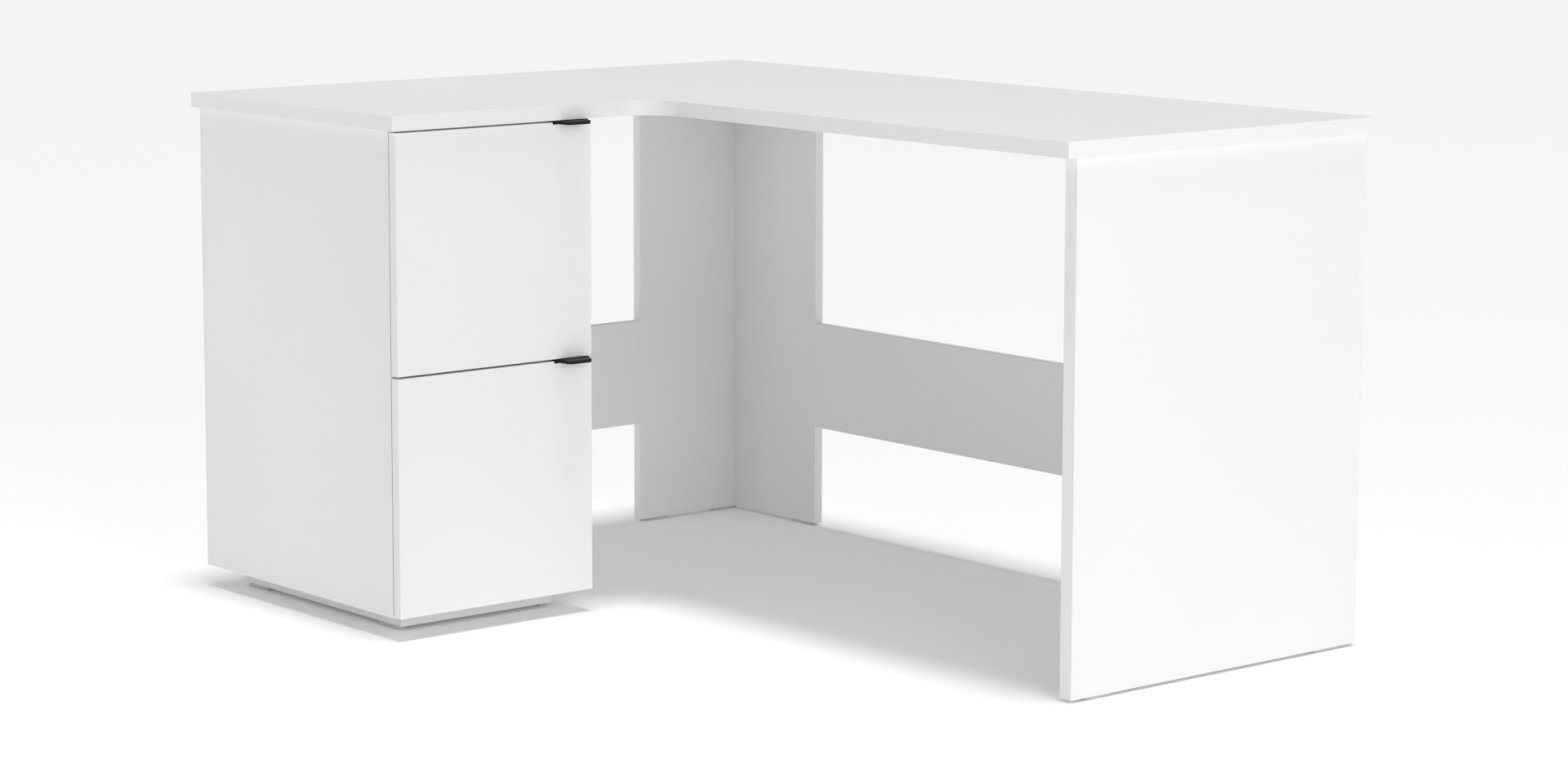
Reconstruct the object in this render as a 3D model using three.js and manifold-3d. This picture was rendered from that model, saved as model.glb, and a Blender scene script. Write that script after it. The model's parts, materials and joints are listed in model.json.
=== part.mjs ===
// Corner desk of melamine-faced board with a two-drawer cabinet under its left wing.
// Millimetres, +Z up. The desk is laid out from the room's corner: the right wing runs along +X, the left
// wing along -Y and the floor is z = 0. The exported group then moves that corner so that the origin is
// at the middle of the footprint. The drawers open along +X, and "left" and "right" on the cabinet are
// those of a person who faces the drawers: left is towards -Y.
import * as THREE from "three";
import { mergeVertices } from "three/addons/utils/BufferGeometryUtils.js";
import Module from "manifold-3d";

const wasm = await Module();
wasm.setup();

// Worktop
const deskWidth = 1400;
const deskDepth = 1056;
const deskHeight = 750;
const topThickness = 22;
const leftWingDepth = 530;
const rightWingDepth = 594;
const innerCornerRadius = 60;
const topOverhang = 8;
const wallInset = 12;

// Boards
const boardThickness = 16;
const endPanelThickness = 22;
const endPanelFrontInset = 24;
const leftCornerPanelEnd = 228;
const rightCornerPanelEnd = 235;
const stretcherBottom = 164.5;
const stretcherHeight = 170;

// Glides under the boards' lower edges
const glideLength = 50;
const glideWidth = 15;
const glideHeight = 4;
const plinthGlideHeight = 6;
const glideEndInset = 10;
const endPanelGlideInset = 30;

// Cabinet
const cabinetWidth = 343;
const cabinetBottom = 32;
const hardboardThickness = 3;
const topRailDepth = 90;
const plinthFrontInset = 43;
const plinthLeftInset = 44;
const plinthRightInset = 30;
const plinthRearInset = 35;

// Drawers
const drawerNames = ["lower_drawer", "upper_drawer"];
const frontInset = 5;
const lowerFrontLift = 1;
const frontStandoff = 2;
const frontGap = 3;
const frontReveal = 0.5;
const drawerSideThickness = 12;
const drawerSideHeight = 220;
const drawerBackHeight = 190;
const drawerLength = 450;
const grooveHeight = 10;
const grooveDepth = 5;
const grooveClearance = 0.3;

// Tab handles, each a plate on a front's top edge with a tab that reaches out over the front
const handlePlateLength = 64;
const handlePlateDepth = 14;
const handleThickness = 2;
const handleEndInset = 4;
const tabLength = 44;
const tabReach = 24;
const tabCornerRadius = 8;
const tabRootRadius = 6;
const tabLipHeight = 3;
const tabLipThickness = 2;

// Roller runners, measured across the gap from the cabinet side and up from the runner's foot
const runnerGap = 13;
const runnerSteel = 1.2;
const runnerFootAboveFront = 27;
const channelHeight = 24;
const channelFootWidth = 10;
const channelLipWidth = 8;
const lipFrontCutback = 26;
const rollerRadius = 9.5;
const rollerWidth = 6;
const rollerEndInset = 12;
const rollerPlay = 0.05;
const pinRadius = 2.5;
const pinPlay = 0.08;
const rollerStart = 3;
const drawerFlangeStart = 2;
const liftLip = 2;
const liftLipReach = 12;
const drawerTravel = 340;
const stopDrop = 4;
const stopLength = 3;

// Brackets that hold the worktop to the panels
const bracketLeg = 30;
const bracketLength = 40;
const bracketSteel = 2;
const bracketInset = 120;

// How far a cutter passes the faces it cuts through
const overcut = 1;

const circleSegments = 32;
const cornerSegments = 6;

const melamine = new THREE.MeshStandardMaterial({ color: 0xf1f1ef, roughness: 0.55, metalness: 0 });
const hardboard = new THREE.MeshStandardMaterial({ color: 0xe9e9e6, roughness: 0.6, metalness: 0 });
const handleBlack = new THREE.MeshStandardMaterial({ color: 0x161616, roughness: 0.45, metalness: 0.1 });
const runnerWhite = new THREE.MeshStandardMaterial({ color: 0xe6e6e3, roughness: 0.45, metalness: 0.2 });
const rollerNylon = new THREE.MeshStandardMaterial({ color: 0xd9d8d2, roughness: 0.5, metalness: 0 });
const glidePlastic = new THREE.MeshStandardMaterial({ color: 0xc9c9c6, roughness: 0.6, metalness: 0 });
const bracketZinc = new THREE.MeshStandardMaterial({ color: 0xa9adb0, roughness: 0.4, metalness: 0.9 });

const desk = new THREE.Group();
desk.position.set(-deskWidth / 2, deskDepth / 2, 0);

function addPiece(name, geometry, material) {
  const piece = new THREE.Mesh(geometry, material);
  piece.name = name;
  desk.add(piece);
}

// A box between two values on each axis, given in either order.
function block(x, y, z) {
  const sides = [x, y, z].map(([from, to]) => Math.abs(to - from));
  const middle = [x, y, z].map(([from, to]) => (from + to) / 2);
  return new THREE.BoxGeometry(...sides).translate(...middle);
}

// A solid with the outline in the XY plane, from z = low to z = high.
function plate(shape, low, high) {
  const options = { depth: high - low, bevelEnabled: false, curveSegments: cornerSegments };
  return new THREE.ExtrudeGeometry(shape, options).translate(0, 0, low);
}

// A solid with the outline in the YZ plane, from x = low to x = high.
function bar(outline, low, high) {
  const shape = new THREE.Shape(outline.map(([y, z]) => new THREE.Vector2(y, z)));
  const geometry = new THREE.ExtrudeGeometry(shape, { depth: high - low, bevelEnabled: false });
  const across = new THREE.Vector3(0, 1, 0);
  const up = new THREE.Vector3(0, 0, 1);
  const along = new THREE.Vector3(1, 0, 0);
  geometry.applyMatrix4(new THREE.Matrix4().makeBasis(across, up, along));
  return geometry.translate(low, 0, 0);
}

function toSolid(geometry) {
  const bare = geometry.clone();
  bare.deleteAttribute("normal");
  bare.deleteAttribute("uv");
  const merged = mergeVertices(bare);
  const vertProperties = merged.getAttribute("position").array;
  const triVerts = new Uint32Array(merged.index.array);
  return new wasm.Manifold(new wasm.Mesh({ numProp: 3, vertProperties, triVerts }));
}

function toGeometry(solid) {
  const mesh = solid.getMesh();
  const geometry = new THREE.BufferGeometry();
  geometry.setAttribute("position", new THREE.BufferAttribute(mesh.vertProperties, 3));
  geometry.setIndex(new THREE.BufferAttribute(mesh.triVerts, 1));
  geometry.computeVertexNormals();
  return geometry;
}

function join(first, ...others) {
  return toGeometry(others.reduce((sum, other) => sum.add(toSolid(other)), toSolid(first)));
}

function cut(body, ...cutters) {
  return toGeometry(cutters.reduce((rest, cutter) => rest.subtract(toSolid(cutter)), toSolid(body)));
}

// Levels and faces that several pieces share
const underTop = deskHeight - topThickness;
const wallX = wallInset;
const wallY = -wallInset;
const innerX = wallX + boardThickness;
const innerY = wallY - boardThickness;
const endPanelOuterX = deskWidth - topOverhang;
const endPanelInnerX = endPanelOuterX - endPanelThickness;
const endPanelFrontY = -rightWingDepth + endPanelFrontInset;
const cabinetLeftY = -deskDepth + topOverhang;
const cabinetRightY = cabinetLeftY + cabinetWidth;
const frontFaceX = leftWingDepth - frontInset;
const frontRearX = frontFaceX - boardThickness;
const cabinetFrontX = frontRearX - frontStandoff;
const cabinetRearX = wallX + hardboardThickness;
const cabinetFloor = cabinetBottom + boardThickness;
const innerLeftY = cabinetLeftY + boardThickness;
const innerRightY = cabinetRightY - boardThickness;

function addWorktop() {
  const outline = new THREE.Shape();
  outline.moveTo(0, 0);
  outline.lineTo(0, -deskDepth);
  outline.lineTo(leftWingDepth, -deskDepth);
  outline.lineTo(leftWingDepth, -rightWingDepth - innerCornerRadius);
  outline.absarc(
    leftWingDepth + innerCornerRadius,
    -rightWingDepth - innerCornerRadius,
    innerCornerRadius,
    Math.PI,
    Math.PI / 2,
    true,
  );
  outline.lineTo(deskWidth, -rightWingDepth);
  outline.lineTo(deskWidth, 0);
  addPiece("worktop", plate(outline, underTop, deskHeight), melamine);
}

function addPanels() {
  const standing = [glideHeight, underTop];
  const stretcher = [stretcherBottom, stretcherBottom + stretcherHeight];
  const endPanel = block([endPanelInnerX, endPanelOuterX], [endPanelFrontY, wallY], standing);
  const leftPanel = block([wallX, innerX], [-leftCornerPanelEnd, wallY], standing);
  const rightPanel = block([innerX, rightCornerPanelEnd], [innerY, wallY], standing);
  const leftStretcher = block([wallX, innerX], [cabinetRightY, -leftCornerPanelEnd], stretcher);
  const rightStretcher = block([rightCornerPanelEnd, endPanelInnerX], [innerY, wallY], stretcher);
  addPiece("end_panel", endPanel, melamine);
  addPiece("corner_panel_left", leftPanel, melamine);
  addPiece("corner_panel_right", rightPanel, melamine);
  addPiece("stretcher_left", leftStretcher, melamine);
  addPiece("stretcher_right", rightStretcher, melamine);
}

// A flat pad under a board, long along X or Y, with its middle at (x, y).
function addGlide(name, x, y, alongX, height) {
  const halfX = (alongX ? glideLength : glideWidth) / 2;
  const halfY = (alongX ? glideWidth : glideLength) / 2;
  addPiece(name, block([x - halfX, x + halfX], [y - halfY, y + halfY], [0, height]), glidePlastic);
}

function addPanelGlides() {
  const endX = (endPanelInnerX + endPanelOuterX) / 2;
  const reach = glideLength / 2;
  const endReach = endPanelGlideInset + reach;
  addGlide("glide_end_front", endX, endPanelFrontY + endReach, false, glideHeight);
  addGlide("glide_end_rear", endX, wallY - endReach, false, glideHeight);
  const leftX = (wallX + innerX) / 2;
  addGlide("glide_corner_left", leftX, -leftCornerPanelEnd + glideEndInset + reach, false, glideHeight);
  addGlide("glide_corner_back", leftX, wallY - glideEndInset - reach, false, glideHeight);
  const rightY = (wallY + innerY) / 2;
  addGlide("glide_corner_right", rightCornerPanelEnd - glideEndInset - reach, rightY, true, glideHeight);
}

function addCabinetCase() {
  const depth = [cabinetRearX, cabinetFrontX];
  const width = [innerLeftY, innerRightY];
  const height = [cabinetBottom, underTop];
  const rail = [underTop - boardThickness, underTop];
  const frontRail = block([cabinetFrontX - topRailDepth, cabinetFrontX], width, rail);
  const rearRail = block([cabinetRearX, cabinetRearX + topRailDepth], width, rail);
  const back = block([wallX, cabinetRearX], [cabinetLeftY, cabinetRightY], height);
  addPiece("cabinet_side_left", block(depth, [cabinetLeftY, innerLeftY], height), melamine);
  addPiece("cabinet_side_right", block(depth, [innerRightY, cabinetRightY], height), melamine);
  addPiece("cabinet_bottom", block(depth, width, [cabinetBottom, cabinetFloor]), melamine);
  addPiece("cabinet_rail_front", frontRail, melamine);
  addPiece("cabinet_rail_rear", rearRail, melamine);
  addPiece("cabinet_back", back, hardboard);
}

// The plinth is a frame set back under the cabinet, its side boards running the whole depth.
function addPlinth() {
  const rearX = wallX + plinthRearInset;
  const frontX = cabinetFrontX - plinthFrontInset;
  const leftY = cabinetLeftY + plinthLeftInset;
  const rightY = cabinetRightY - plinthRightInset;
  const height = [plinthGlideHeight, cabinetBottom];
  const between = [leftY + boardThickness, rightY - boardThickness];
  addPiece("plinth_left", block([rearX, frontX], [leftY, leftY + boardThickness], height), melamine);
  addPiece("plinth_right", block([rearX, frontX], [rightY - boardThickness, rightY], height), melamine);
  addPiece("plinth_front", block([frontX - boardThickness, frontX], between, height), melamine);
  addPiece("plinth_rear", block([rearX, rearX + boardThickness], between, height), melamine);
  const reach = glideEndInset + glideLength / 2;
  const sides = { left: leftY + boardThickness / 2, right: rightY - boardThickness / 2 };
  for (const [side, y] of Object.entries(sides)) {
    addGlide(`glide_plinth_front_${side}`, frontX - reach, y, true, plinthGlideHeight);
    addGlide(`glide_plinth_rear_${side}`, rearX + reach, y, true, plinthGlideHeight);
  }
}

// A ring about an axis along Y, from y = low to y = high.
function roller(x, z, low, high) {
  const hole = pinRadius + pinPlay;
  const profile = [
    [hole, low],
    [rollerRadius, low],
    [rollerRadius, high],
    [hole, high],
    [hole, low],
  ];
  const points = profile.map(([radius, y]) => new THREE.Vector2(radius, y));
  return new THREE.LatheGeometry(points, circleSegments).translate(x, 0, z);
}

function pin(x, z, from, to) {
  const length = Math.abs(to - from);
  const cylinder = new THREE.CylinderGeometry(pinRadius, pinRadius, length, circleSegments);
  return cylinder.translate(x, (from + to) / 2, z);
}

// The runners of one side are laid out by distances across the gap, from the cabinet side's inner face.
function acrossGap(side) {
  return side === "left" ? (distance) => innerLeftY + distance : (distance) => innerRightY - distance;
}

// The fixed roller's axle at the front of the cabinet rail, with the drawer shut.
function frontAxle(footZ) {
  return {
    x: cabinetFrontX - rollerEndInset,
    z: footZ + channelHeight + runnerSteel / 2 - rollerRadius,
  };
}

// The riding roller's axle at the rear of the drawer rail, with the drawer shut.
function rearAxle(footZ) {
  return {
    x: frontRearX - drawerLength + rollerEndInset,
    z: footZ + runnerSteel + rollerRadius + rollerPlay,
  };
}

function addRoller(name, axle, across) {
  const [low, high] = inOrder(across(rollerStart), across(rollerStart + rollerWidth));
  addPiece(name, roller(axle.x, axle.z, low, high), rollerNylon);
}

// A channel on the cabinet side. Its lip is cut back over the roller at its front, and a tab bent down
// from the lip stops the drawer's roller at full travel.
function addCabinetRail(drawer, side, footZ) {
  const across = acrossGap(side);
  const lipUnder = footZ + channelHeight - runnerSteel;
  const channel = [
    [across(0), footZ],
    [across(channelFootWidth), footZ],
    [across(channelFootWidth), footZ + runnerSteel],
    [across(runnerSteel), footZ + runnerSteel],
    [across(runnerSteel), lipUnder],
    [across(channelLipWidth), lipUnder],
    [across(channelLipWidth), footZ + channelHeight],
    [across(0), footZ + channelHeight],
  ];
  const lipCutback = block(
    [cabinetFrontX - lipFrontCutback, cabinetFrontX + overcut],
    [across(runnerSteel), across(channelLipWidth + overcut)],
    [lipUnder - overcut, footZ + channelHeight + overcut],
  );
  const axle = frontAxle(footZ);
  const axlePin = pin(axle.x, axle.z, across(runnerSteel / 2), across(rollerStart + rollerWidth));
  const riding = rearAxle(footZ);
  const stopUnder = lipUnder - stopDrop;
  const stopHalfWidth = Math.sqrt(rollerRadius ** 2 - (stopUnder - riding.z) ** 2);
  const stopX = riding.x + drawerTravel + stopHalfWidth + rollerPlay;
  const stop = block(
    [stopX, stopX + stopLength],
    [across(runnerSteel / 2), across(channelLipWidth)],
    [stopUnder, lipUnder + runnerSteel / 2],
  );
  const strip = cut(bar(channel, frontRearX - drawerLength, cabinetFrontX), lipCutback);
  addPiece(`${drawer}_cabinet_rail_${side}`, join(strip, axlePin, stop), runnerWhite);
  addRoller(`${drawer}_cabinet_roller_${side}`, axle, across);
}

// A strip on the drawer side: its flange lies on the fixed roller and its lip carries the side's edge.
function addDrawerRail(drawer, side, footZ) {
  const across = acrossGap(side);
  const flangeUnder = frontAxle(footZ).z + rollerRadius + rollerPlay;
  const liftUnder = footZ - liftLip;
  const webOuter = runnerGap - runnerSteel;
  const lipEnd = runnerGap + liftLipReach;
  const member = [
    [across(drawerFlangeStart), flangeUnder],
    [across(webOuter), flangeUnder],
    [across(webOuter), liftUnder],
    [across(lipEnd), liftUnder],
    [across(lipEnd), liftUnder + runnerSteel],
    [across(runnerGap), liftUnder + runnerSteel],
    [across(runnerGap), flangeUnder + runnerSteel],
    [across(drawerFlangeStart), flangeUnder + runnerSteel],
  ];
  const axle = rearAxle(footZ);
  const axlePin = pin(axle.x, axle.z, across(rollerStart), across(runnerGap - runnerSteel / 2));
  const strip = bar(member, frontRearX - drawerLength, frontRearX);
  addPiece(`${drawer}_rail_${side}`, join(strip, axlePin), runnerWhite);
  addRoller(`${drawer}_roller_${side}`, axle, across);
}

function inOrder(one, other) {
  return one < other ? [one, other] : [other, one];
}

// The tab handle, seen from above: a plate along the front's top edge and a tab with rounded corners
// that grows out of it through two hollow root curves. With shrink it is the hollow inside the tab's lip.
function handleOutline(plateLeftY, shrink) {
  const plateRightY = plateLeftY + handlePlateLength;
  const middleY = (plateLeftY + plateRightY) / 2;
  const leftY = middleY - tabLength / 2 + shrink;
  const rightY = middleY + tabLength / 2 - shrink;
  const reachX = frontFaceX + tabReach - shrink;
  const corner = tabCornerRadius - shrink;
  const root = tabRootRadius + shrink;
  const outline = new THREE.Shape();
  if (shrink) {
    outline.moveTo(frontFaceX, leftY - root);
  } else {
    outline.moveTo(frontFaceX - handlePlateDepth, plateLeftY);
    outline.lineTo(frontFaceX, plateLeftY);
    outline.lineTo(frontFaceX, leftY - root);
  }
  outline.absarc(frontFaceX + root, leftY - root, root, Math.PI, Math.PI / 2, true);
  outline.lineTo(reachX - corner, leftY);
  outline.absarc(reachX - corner, leftY + corner, corner, -Math.PI / 2, 0, false);
  outline.lineTo(reachX, rightY - corner);
  outline.absarc(reachX - corner, rightY - corner, corner, 0, Math.PI / 2, false);
  outline.lineTo(frontFaceX + root, rightY);
  outline.absarc(frontFaceX + root, rightY + root, root, -Math.PI / 2, -Math.PI, true);
  if (!shrink) {
    outline.lineTo(frontFaceX, plateRightY);
    outline.lineTo(frontFaceX - handlePlateDepth, plateRightY);
  }
  return outline;
}

function addHandle(drawer, frontTop) {
  const plateLeftY = cabinetRightY - frontReveal - handleEndInset - handlePlateLength;
  const lipBottom = frontTop - tabLipHeight;
  const whole = plate(handleOutline(plateLeftY, 0), lipBottom, frontTop + handleThickness);
  const hollow = plate(handleOutline(plateLeftY, tabLipThickness), lipBottom - overcut, frontTop);
  const board = block(
    [frontFaceX - handlePlateDepth - overcut, frontFaceX],
    [plateLeftY - overcut, plateLeftY + handlePlateLength + overcut],
    [lipBottom - overcut, frontTop],
  );
  addPiece(`${drawer}_handle`, cut(whole, hollow, board), handleBlack);
}

// One drawer: its front stands a little off the cabinet's edges, and its box runs in the runners.
function addDrawer(drawer, frontBottom, frontTop) {
  const footZ = frontBottom + runnerFootAboveFront;
  const low = footZ - liftLip + runnerSteel;
  const rearX = frontRearX - drawerLength;
  const leftY = innerLeftY + runnerGap;
  const rightY = innerRightY - runnerGap;
  const insideLeftY = leftY + drawerSideThickness;
  const insideRightY = rightY - drawerSideThickness;
  const grooveLow = low + grooveHeight;
  const grooveHigh = grooveLow + hardboardThickness + 2 * grooveClearance;
  const grooveReach = grooveDepth + grooveClearance;
  const groove = block(
    [rearX - overcut, frontRearX + grooveReach],
    [insideLeftY - grooveReach, insideRightY + grooveReach],
    [grooveLow, grooveHigh],
  );
  const frontY = [cabinetLeftY + frontReveal, cabinetRightY - frontReveal];
  const front = block([frontRearX, frontFaceX], frontY, [frontBottom, frontTop]);
  const length = [rearX, frontRearX];
  const sideHeight = [low, low + drawerSideHeight];
  const sideLeft = block(length, [leftY, insideLeftY], sideHeight);
  const sideRight = block(length, [insideRightY, rightY], sideHeight);
  const back = block(
    [rearX, rearX + drawerSideThickness],
    [insideLeftY, insideRightY],
    [grooveHigh, grooveHigh + drawerBackHeight],
  );
  const bottom = block(
    [rearX, frontRearX + grooveDepth],
    [insideLeftY - grooveDepth, insideRightY + grooveDepth],
    [grooveLow + grooveClearance, grooveHigh - grooveClearance],
  );
  addPiece(`${drawer}_front`, cut(front, groove), melamine);
  addPiece(`${drawer}_side_left`, cut(sideLeft, groove), melamine);
  addPiece(`${drawer}_side_right`, cut(sideRight, groove), melamine);
  addPiece(`${drawer}_back`, back, melamine);
  addPiece(`${drawer}_bottom`, bottom, hardboard);
  addHandle(drawer, frontTop);
  for (const side of ["left", "right"]) {
    addCabinetRail(drawer, side, footZ);
    addDrawerRail(drawer, side, footZ);
  }
}

// The fronts share the height under the worktop, with one gap over each.
function addDrawers() {
  const lowest = cabinetBottom + lowerFrontLift;
  const pitch = (underTop - lowest) / drawerNames.length;
  drawerNames.forEach((drawer, index) => {
    const frontBottom = lowest + index * pitch;
    addDrawer(drawer, frontBottom, frontBottom + pitch - frontGap);
  });
}

// An angle bracket that runs along Y, its standing leg at x = 0 and its lying leg under z = 0.
function bracket() {
  const lying = block([0, bracketLeg], [-bracketLength / 2, bracketLength / 2], [-bracketSteel, 0]);
  const standing = block([0, bracketSteel], [-bracketLength / 2, bracketLength / 2], [-bracketLeg, 0]);
  return join(lying, standing);
}

function addBrackets() {
  const places = {
    bracket_end_front: [endPanelInnerX, endPanelFrontY + bracketInset, Math.PI],
    bracket_end_rear: [endPanelInnerX, wallY - bracketInset, Math.PI],
    bracket_corner_left: [innerX, wallY - bracketInset, 0],
    bracket_corner_right: [wallX + bracketInset, innerY, -Math.PI / 2],
  };
  for (const [name, [x, y, turn]] of Object.entries(places)) {
    addPiece(name, bracket().rotateZ(turn).translate(x, y, underTop), bracketZinc);
  }
}

addWorktop();
addPanels();
addPanelGlides();
addCabinetCase();
addPlinth();
addDrawers();
addBrackets();

export default desk;
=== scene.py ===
"""The looks of a corner desk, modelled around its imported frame. Metres, +Z up."""

import json
import math
from contextlib import contextmanager

import bpy
from mathutils import Matrix, Vector


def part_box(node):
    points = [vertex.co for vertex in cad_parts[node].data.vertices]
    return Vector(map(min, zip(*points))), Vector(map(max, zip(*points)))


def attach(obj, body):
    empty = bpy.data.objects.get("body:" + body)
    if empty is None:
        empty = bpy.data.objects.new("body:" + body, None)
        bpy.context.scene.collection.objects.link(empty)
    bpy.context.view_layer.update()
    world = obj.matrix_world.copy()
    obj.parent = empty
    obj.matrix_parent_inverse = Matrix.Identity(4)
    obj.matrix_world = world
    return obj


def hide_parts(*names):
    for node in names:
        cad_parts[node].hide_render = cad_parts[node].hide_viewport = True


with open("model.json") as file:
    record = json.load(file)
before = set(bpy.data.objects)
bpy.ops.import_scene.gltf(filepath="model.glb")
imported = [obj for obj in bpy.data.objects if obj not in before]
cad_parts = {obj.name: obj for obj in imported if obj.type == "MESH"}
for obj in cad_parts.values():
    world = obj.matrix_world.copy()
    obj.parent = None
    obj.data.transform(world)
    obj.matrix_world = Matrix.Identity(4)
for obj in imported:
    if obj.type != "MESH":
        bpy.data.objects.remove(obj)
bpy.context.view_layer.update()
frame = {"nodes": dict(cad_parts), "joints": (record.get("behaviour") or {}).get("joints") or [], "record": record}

bl_info = {
    "name": "Corner desk",
    "version": (1, 0, 0),
    "blender": (4, 5, 0),
    "location": "3D View > Sidebar > Desk",
    "description": "Models a white corner desk with a two-drawer cabinet, its fittings and a studio",
    "category": "Add Mesh",
}

MM = 0.001
NEAR = 0.05 * MM
OVERCUT = 1 * MM  # how far a cutter runs past the face that it opens
RUNNER_GAP = 13 * MM  # between a cabinet side and a drawer side
RAIL_HOLE_SHARES = (0.14, 0.5, 0.86)  # places of the screws along a rail
BRACKET_HOLE_SPREAD, BRACKET_HOLE_REACH = 11 * MM, 18 * MM  # along the bend, and out from it
DRAWERS = ("lower_drawer", "upper_drawer")
SIDES = ("left", "right")
X, Y, Z = Vector((1, 0, 0)), Vector((0, 1, 0)), Vector((0, 0, 1))


# ---------------------------------------------------------------- sizes and colours


def distance(name, description, millimetres):
    return bpy.props.FloatProperty(
        name=name,
        description=description,
        default=millimetres * MM,
        min=0,
        subtype="DISTANCE",
        unit="LENGTH",
    )


def colour(name, description, red, green, blue):
    return bpy.props.FloatVectorProperty(
        name=name,
        description=description,
        default=(red, green, blue),
        min=0,
        max=1,
        subtype="COLOR",
    )


def slot_colour(slot):
    """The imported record's colour of a material slot."""
    return next(m["base_color"][:3] for m in frame["record"]["materials"] if m["slot"] == slot)


class DeskSizes(bpy.types.PropertyGroup):
    arris: distance("Arris", "Radius of the boards' rounded edges", 0.5)
    sheet_arris: distance("Sheet arris", "Radius of the hardboard sheets' edges", 0.3)
    groove_clearance: distance("Groove clearance", "Gap over and under a drawer bottom in its groove", 0.3)
    steel: distance("Runner steel", "Thickness of the runners' steel strip", 1.2)
    bend: distance("Bend", "Middle radius of the runners' bends", 1.2)
    bracket_steel: distance("Bracket steel", "Thickness of the angle brackets", 2.0)
    tab_length: distance("Tab length", "Length of a handle's tab along its front", 44)
    tab_corner: distance("Tab corner", "Radius of a tab's free corners", 8)
    tab_root: distance("Tab root", "Radius of the hollow curves where a tab leaves its plate", 6)
    tab_lip: distance("Tab lip", "Thickness of the turned-down lip round a tab", 2)
    tab_edge: distance("Tab edge", "Radius of a handle's edges", 0.6)
    screw_head: distance("Screw head", "Radius of the screws' heads", 3.4)
    cam_radius: distance("Cam", "Radius of the cam fittings", 7.5)


class DeskColours(bpy.types.PropertyGroup):
    board: colour("Board", "White melamine", 0.9, 0.9, 0.895)
    hardboard: colour("Hardboard", "White faced hardboard", *slot_colour("hardboard_white"))
    core: colour("Board core", "Bare chipboard where an edge has no band", 0.52, 0.38, 0.24)
    handle: colour("Handle", "Black powder coat", *slot_colour("handle_black"))
    runner: colour("Runner", "White epoxy on steel", *slot_colour("runner_white"))
    roller: colour("Roller", "Natural nylon", *slot_colour("roller_nylon"))
    glide: colour("Glide", "Pale grey polyethylene", *slot_colour("glide_plastic"))
    zinc: colour("Zinc", "Zinc plate on steel", *slot_colour("bracket_zinc"))
    floor: colour("Floor", "Pale studio floor", 0.96, 0.96, 0.96)


class DeskStudio(bpy.types.PropertyGroup):
    azimuth: bpy.props.FloatProperty(
        name="Azimuth",
        description="Direction of the camera round the desk, from straight in front towards +X",
        default=math.radians(50.85),
        subtype="ANGLE",
    )
    elevation: bpy.props.FloatProperty(
        name="Elevation",
        description="Height of the camera over the horizon, as an angle",
        default=math.radians(7.76),
        subtype="ANGLE",
    )
    camera_distance: distance("Camera distance", "From the aim to the camera", 5716)
    lens: bpy.props.FloatProperty(
        name="Lens", description="Focal length in millimetres", default=90.24, min=10
    )
    shift: bpy.props.FloatVectorProperty(
        name="Shift", description="Lens shift across and up", size=2, default=(0.041, -0.05)
    )
    ambient: bpy.props.FloatProperty(
        name="Ambient", description="Strength of the even light from all round", default=0.4, min=0
    )
    key: bpy.props.FloatProperty(
        name="Key", description="Strength of the soft light over the desk", default=1.6, min=0
    )
    key_softness: bpy.props.FloatProperty(
        name="Key softness",
        description="Angle that the key light fills in the sky",
        default=math.radians(12),
        subtype="ANGLE",
    )
    side: bpy.props.FloatProperty(
        name="Side", description="Power of the light beyond the right wing's end, in watts", default=72, min=0
    )
    fill: bpy.props.FloatProperty(
        name="Fill", description="Power of the light beside the cabinet, in watts", default=3, min=0
    )


def sizes():
    return bpy.context.scene.desk_sizes


def colours():
    return bpy.context.scene.desk_colours


# ---------------------------------------------------------------- shader maths


class Socket:
    """An output socket that takes part in Python sums by adding Math nodes."""

    def __init__(self, finish, socket):
        self.finish = finish
        self.socket = socket

    def _sum(self, operation, *values):
        return self.finish.node("ShaderNodeMath", {"operation": operation}, dict(enumerate(values)))

    def __add__(self, other):
        return self._sum("ADD", self, other)

    def __rsub__(self, other):
        return self._sum("SUBTRACT", other, self)

    def __mul__(self, other):
        return self._sum("MULTIPLY", self, other)

    __radd__ = __add__
    __rmul__ = __mul__


def finish_name(name):
    """A finish's own name, apart from the frame's flat material of the same slot."""
    return f"{name}_finish"


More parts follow.
